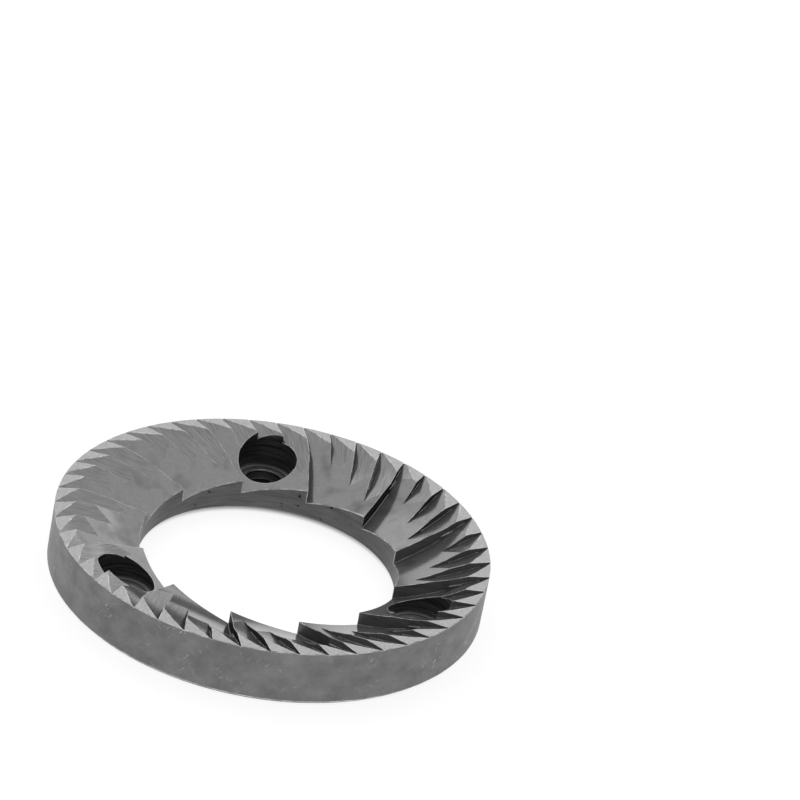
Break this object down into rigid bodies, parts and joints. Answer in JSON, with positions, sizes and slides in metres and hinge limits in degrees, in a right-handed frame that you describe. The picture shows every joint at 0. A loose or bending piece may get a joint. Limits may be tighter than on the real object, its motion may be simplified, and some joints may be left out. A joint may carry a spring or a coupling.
{
  "type": "coffee grinder burr",
  "caption": "Flat ring burr of hardened steel for a coffee grinder: milled cutting teeth on one face, counterbored screw holes, open bore and a ground rim on the back.",
  "frame": {"origin": "centre of the ring, in the plane of the ground back rim that it seats on", "axes": "+Z along the ring's axis towards the teeth, +Y through the middle of one screw hole"},
  "size_m": [0.064, 0.064, 0.0085],
  "materials": {
    "burr_steel": "satin, milled and ground"
  },
  "bodies": {
    "root": {"burr": "burr_steel"}
  },
  "joints": []
}
